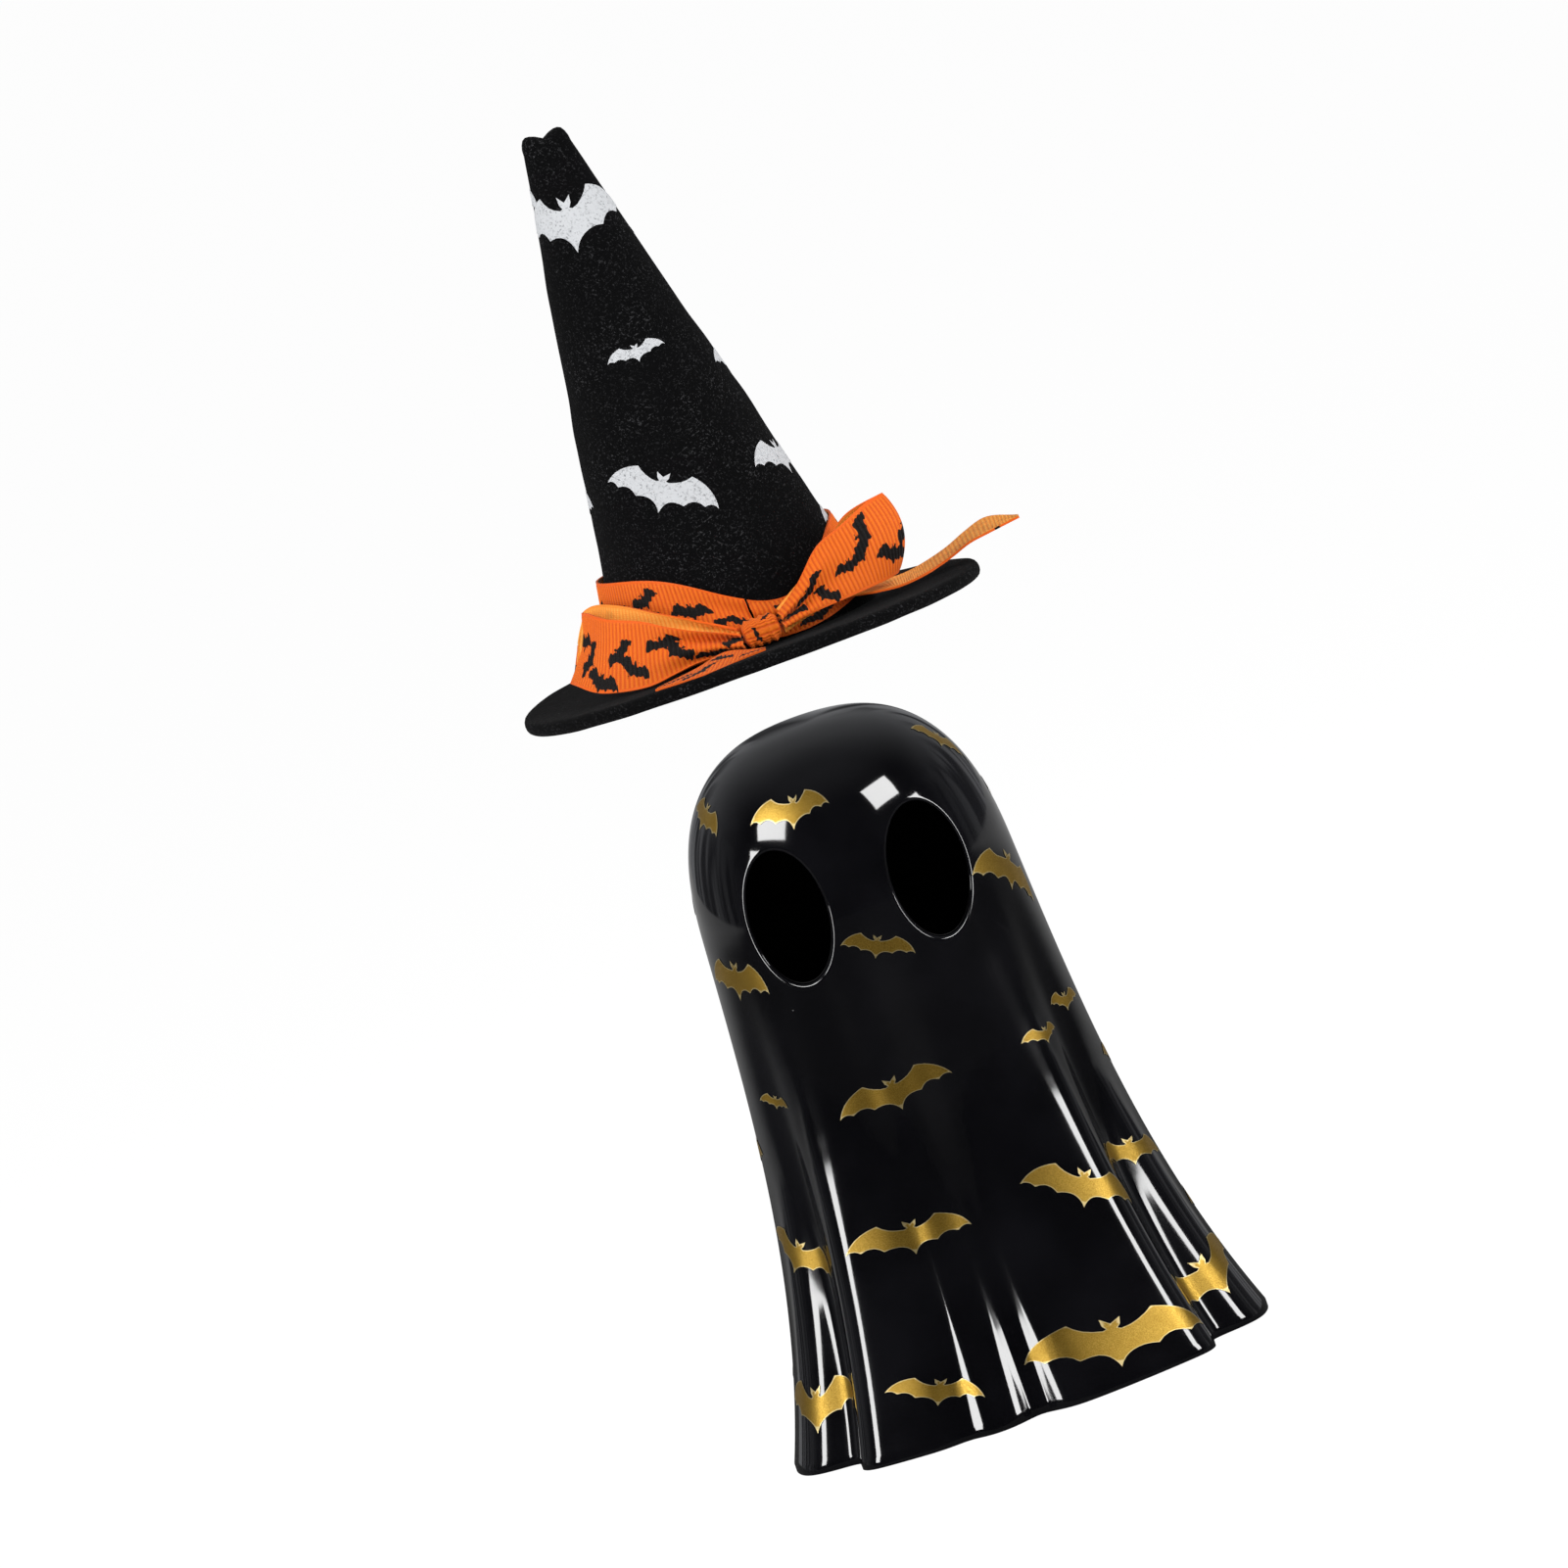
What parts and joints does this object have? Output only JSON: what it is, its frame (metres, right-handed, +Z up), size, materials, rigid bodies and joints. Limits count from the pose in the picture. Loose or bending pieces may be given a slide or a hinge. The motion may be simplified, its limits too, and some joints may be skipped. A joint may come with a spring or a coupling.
{
  "type": "light-up ghost figure",
  "caption": "Hollow glazed ghost with a folded gown, eye openings, a press-in battery light module in its floor and a lift-off felt witch hat with a ribbon bow.",
  "frame": {"origin": "centre of the ghost's foot on the table", "axes": "+Z up, -Y is the front with the eyes, +X to the right seen from the front"},
  "size_m": [0.1122, 0.1048, 0.2894],
  "materials": {
    "glaze": "black gloss glaze with gold printed bats",
    "felt": "black pressed felt with white printed bats",
    "ribbon": "orange grosgrain ribbon with black printed bats",
    "black_plastic": "moulded, fine grain",
    "silicone": "soft, satin",
    "board": "green solder mask",
    "resistor_body": "lacquered",
    "lamp_resin": "clear resin",
    "frosted_plastic": "frosted",
    "steel": "plated",
    "contact_metal": "pressed spring strip"
  },
  "bodies": {
    "ghost": {"ghost_shell": "glaze"},
    "hat": {"hat_brim": "felt", "hat_cone": "felt", "ribbon_band": "ribbon", "ribbon_knot": "ribbon", "ribbon_loop_left": "ribbon", "ribbon_loop_right": "ribbon", "ribbon_tail_left": "ribbon", "ribbon_tail_right": "ribbon"},
    "light_module": {"module_housing": "black_plastic", "module_seal": "silicone", "module_lid": "black_plastic", "lid_screw_1": "steel", "lid_screw_2": "steel", "circuit_board": "board", "resistor": "resistor_body", "led_lamp": "lamp_resin", "led_lead_1": "steel", "led_lead_2": "steel", "light_diffuser": "frosted_plastic", "switch_body": "steel", "coin_cell_lower": "steel", "coin_cell_upper": "steel", "contact_side": "contact_metal", "contact_top": "contact_metal"},
    "switch_knob": {"switch_slider": "black_plastic"},
    "battery_cover": {"battery_door": "black_plastic", "door_seal": "silicone"}
  },
  "joints": [
    {"name": "hat_lift", "type": "slide", "parent": "ghost", "child": "hat", "axis": [-0.1417, 0, 0.9899], "range_m": [-0.027, 0.035]},
    {"name": "module_pull", "type": "slide", "parent": "ghost", "child": "light_module", "axis": [0, 0, -1], "range_m": [0, 0.042]},
    {"name": "door_twist", "type": "hinge", "parent": "light_module", "child": "battery_cover", "pos_m": [-0.005, 0, 0.0025], "axis": [0, 0, 1], "range_deg": [0, 35]},
    {"name": "switch_slide", "type": "slide", "parent": "light_module", "child": "switch_knob", "axis": [0, 1, 0], "range_m": [0, 0.003]}
  ]
}
